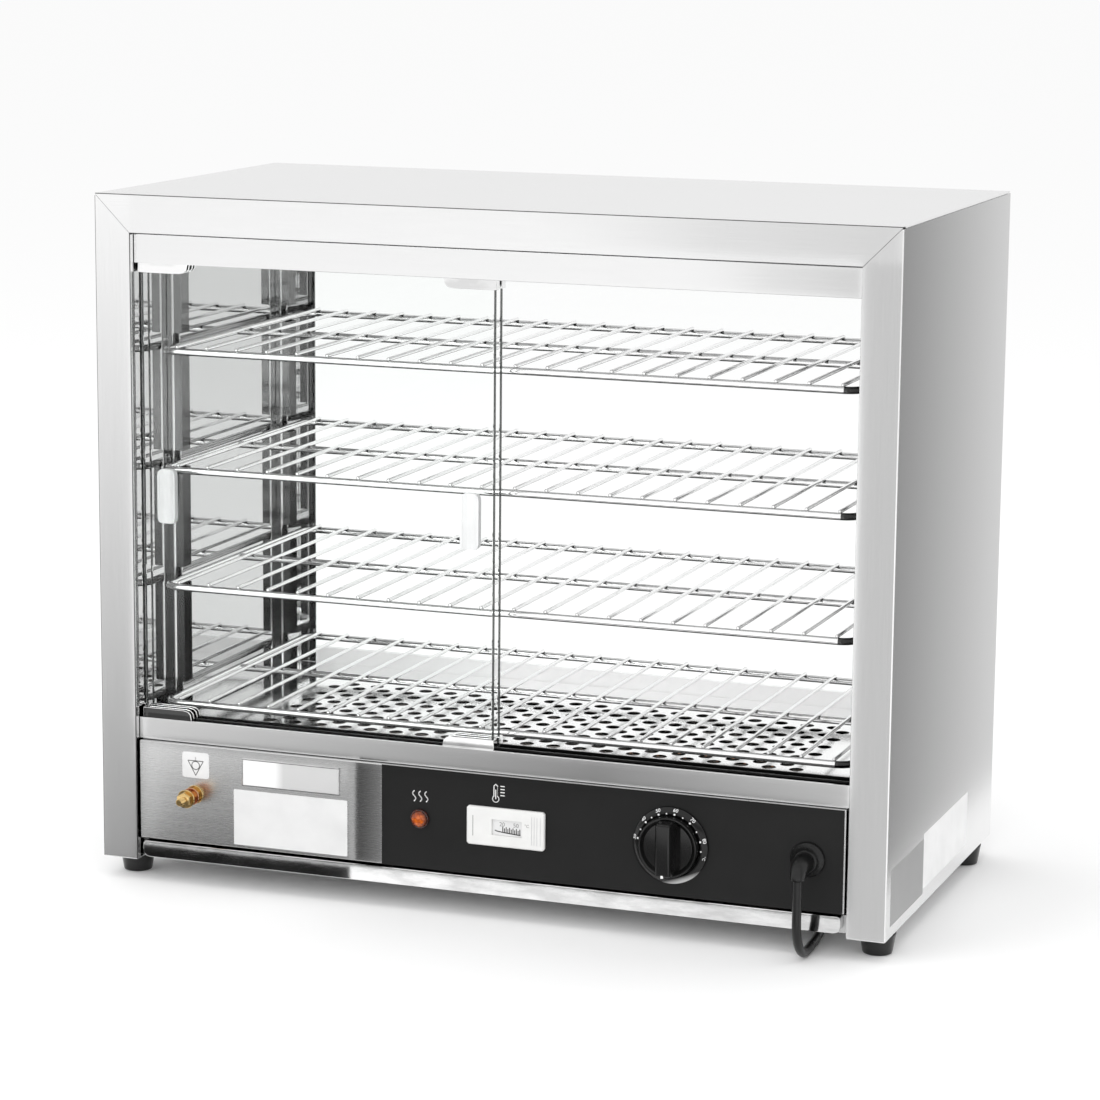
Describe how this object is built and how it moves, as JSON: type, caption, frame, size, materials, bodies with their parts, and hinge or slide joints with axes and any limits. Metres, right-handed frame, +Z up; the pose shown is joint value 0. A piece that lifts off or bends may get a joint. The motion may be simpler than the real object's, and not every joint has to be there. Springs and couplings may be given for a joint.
{
  "type": "pie warmer",
  "caption": "Countertop heated display cabinet with two sliding glass doors, wire racks, a perforated plate over heaters and a front control panel.",
  "frame": {"origin": "centre of the object's footprint on the worktop, between the feet's undersides", "axes": "+Z up, -Y out of the front, +X to the right seen from the front"},
  "size_m": [0.64, 0.494, 0.543],
  "materials": {
    "satin_steel": "satin stainless steel",
    "polished_steel": "polished stainless steel",
    "rack_wire": "bright plated wire",
    "glass": "clear tempered glass",
    "frosted_plastic": "frosted",
    "overlay_film": "satin film",
    "black_plastic": "satin moulded",
    "white_plastic": "gloss moulded",
    "amber_lens": "clear amber",
    "black_rubber": "smooth",
    "brass": "bright",
    "element_sheath": "heat-tinted sheath"
  },
  "bodies": {
    "cabinet": {"side_panel_left": "satin_steel", "side_panel_right": "satin_steel", "top_panel": "satin_steel", "upper_track": "satin_steel", "lower_track": "satin_steel", "control_panel": "satin_steel", "base_pan": "satin_steel", "rear_lower_panel": "satin_steel", "rear_sill_channel": "satin_steel", "rear_head_channel": "satin_steel", "perforated_plate": "satin_steel", "element_bracket_left": "satin_steel", "element_bracket_right": "satin_steel", "lower_trim": "polished_steel", "inner_wall_left": "polished_steel", "inner_wall_right": "polished_steel", "inner_ceiling": "polished_steel", "heater_tray": "polished_steel", "rack_post_front_left": "polished_steel", "rack_post_front_right": "polished_steel", "rack_post_rear_left": "polished_steel", "rack_post_rear_right": "polished_steel", "wire_rack_1": "rack_wire", "wire_rack_2": "rack_wire", "wire_rack_3": "rack_wire", "wire_rack_4": "rack_wire", "rear_pane": "glass", "panel_overlay": "overlay_film", "heating_element_front": "element_sheath", "heating_element_rear": "element_sheath", "sensing_bulb": "brass", "earth_stud": "brass", "earth_nut": "brass", "thermostat_body": "white_plastic", "thermometer": "white_plastic", "terminal_block": "white_plastic", "dial_ring": "black_plastic", "cable_gland": "black_plastic", "mains_plug": "black_plastic", "indicator_lamp": "amber_lens", "mains_lead": "black_rubber", "mains_lead_coil": "black_rubber", "foot_front_left": "black_rubber", "foot_front_right": "black_rubber", "foot_rear_left": "black_rubber", "foot_rear_right": "black_rubber"},
    "front_track_door": {"front_track_door_pane": "glass", "front_track_door_lower_left_clip": "polished_steel", "front_track_door_lower_right_clip": "polished_steel", "front_track_door_upper_left_clip": "polished_steel", "front_track_door_upper_right_clip": "polished_steel", "front_track_door_pull": "frosted_plastic"},
    "rear_track_door": {"rear_track_door_pane": "glass", "rear_track_door_lower_left_clip": "polished_steel", "rear_track_door_lower_right_clip": "polished_steel", "rear_track_door_upper_left_clip": "polished_steel", "rear_track_door_upper_right_clip": "polished_steel", "rear_track_door_pull": "frosted_plastic"},
    "thermostat_knob": {"thermostat_knob": "black_plastic", "thermostat_spindle": "satin_steel"}
  },
  "joints": [
    {"name": "front_track_door_slide", "type": "slide", "parent": "cabinet", "child": "front_track_door", "axis": [1, 0, 0], "range_m": [0, 0.28]},
    {"name": "rear_track_door_slide", "type": "slide", "parent": "cabinet", "child": "rear_track_door", "axis": [1, 0, 0], "range_m": [0, 0.28]},
    {"name": "thermostat_turn", "type": "hinge", "parent": "cabinet", "child": "thermostat_knob", "pos_m": [0.15328, -0.146, 0.0745], "axis": [0, 1, 0], "range_deg": [0, 270]}
  ]
}
